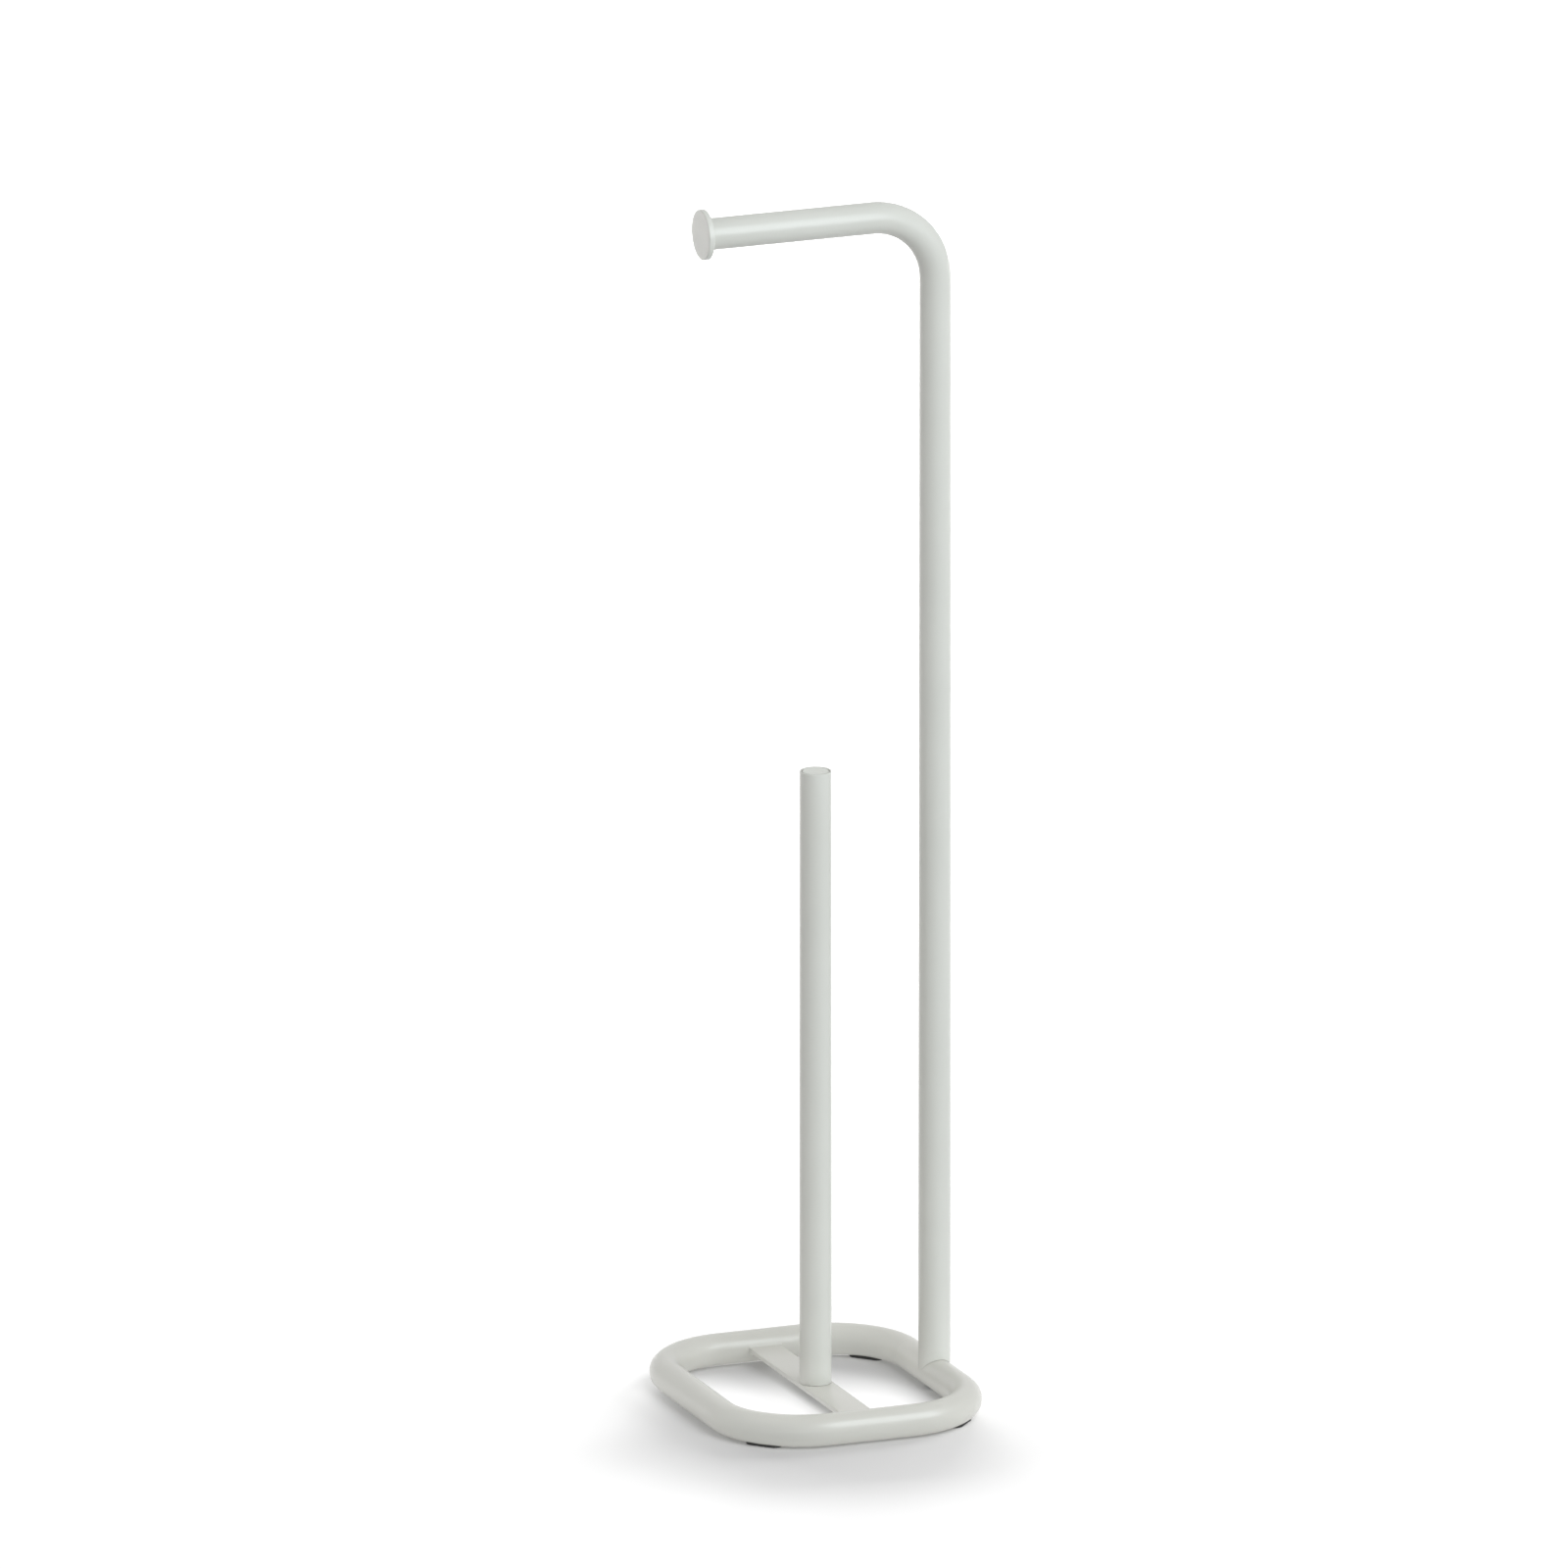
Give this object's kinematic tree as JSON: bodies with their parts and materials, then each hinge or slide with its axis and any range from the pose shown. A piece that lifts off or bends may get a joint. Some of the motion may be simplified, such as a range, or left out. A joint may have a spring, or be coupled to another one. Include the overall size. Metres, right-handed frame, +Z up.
{
  "type": "freestanding toilet paper holder",
  "caption": "Free-standing holder of bent round tube: a ring base with a crossbar, a post for spare rolls, and a tall upright that bends into an arm with an end disc for the roll in use.",
  "frame": {"origin": "on the floor, under the middle of the base ring", "axes": "+Z up, +X from the arm's end disc towards the upright, +Y from front to rear along the crossbar"},
  "size_m": [0.17, 0.2, 0.7345],
  "materials": {
    "powder_coat": "satin warm light grey powder coat on steel",
    "plug_plastic": "moulded plastic in the colour of the powder coat",
    "black_rubber": "matt black rubber",
    "zinc_steel": "bright zinc plate"
  },
  "bodies": {
    "root": {"base_ring": "powder_coat", "crossbar": "powder_coat", "crossbar_weld_front": "powder_coat", "crossbar_weld_rear": "powder_coat", "foot_pad_front_left": "black_rubber", "foot_pad_front_right": "black_rubber", "foot_pad_rear_left": "black_rubber", "foot_pad_rear_right": "black_rubber", "upright_tube": "powder_coat", "upright_insert": "zinc_steel", "upright_saddle_washer": "zinc_steel", "upright_screw": "zinc_steel", "arm_end_disc": "powder_coat", "post_tube": "powder_coat", "post_top_plug": "plug_plastic", "post_insert": "zinc_steel", "post_washer": "zinc_steel", "post_screw": "zinc_steel"}
  },
  "joints": []
}
